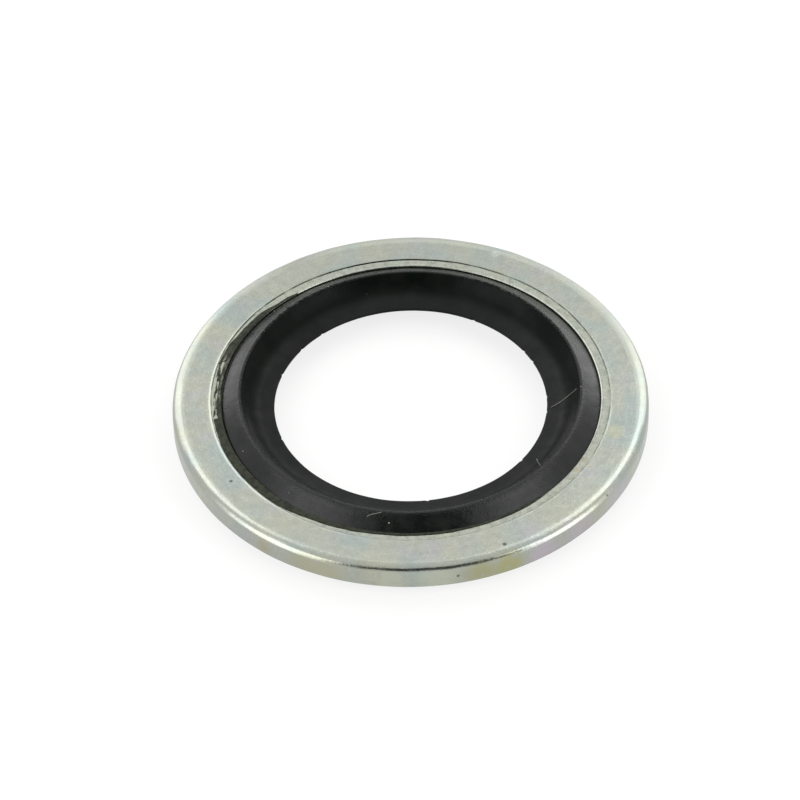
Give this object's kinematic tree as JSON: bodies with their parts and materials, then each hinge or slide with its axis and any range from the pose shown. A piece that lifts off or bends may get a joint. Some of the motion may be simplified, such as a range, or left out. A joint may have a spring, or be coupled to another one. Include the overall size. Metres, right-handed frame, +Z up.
{
  "type": "bonded sealing washer",
  "caption": "Flat round steel washer with a black rubber seal bonded in its bore: a raised bead on each face and a thin inner lip that centres it on a thread.",
  "frame": {"origin": "on the washer's axis, at the height of the lower sealing crest, which it lies on", "axes": "+Z up along the axis, away from the surface it lies on and towards the face whose rim is rolled over; X and Y are in the plane of the washer"},
  "size_m": [0.028, 0.028, 0.0026],
  "materials": {
    "zinc_plated_steel": "zinc plated and clear passivated, satin",
    "moulded_rubber": "black, matt as moulded"
  },
  "bodies": {
    "root": {"steel_ring": "zinc_plated_steel", "rubber_seal": "moulded_rubber"}
  },
  "joints": []
}
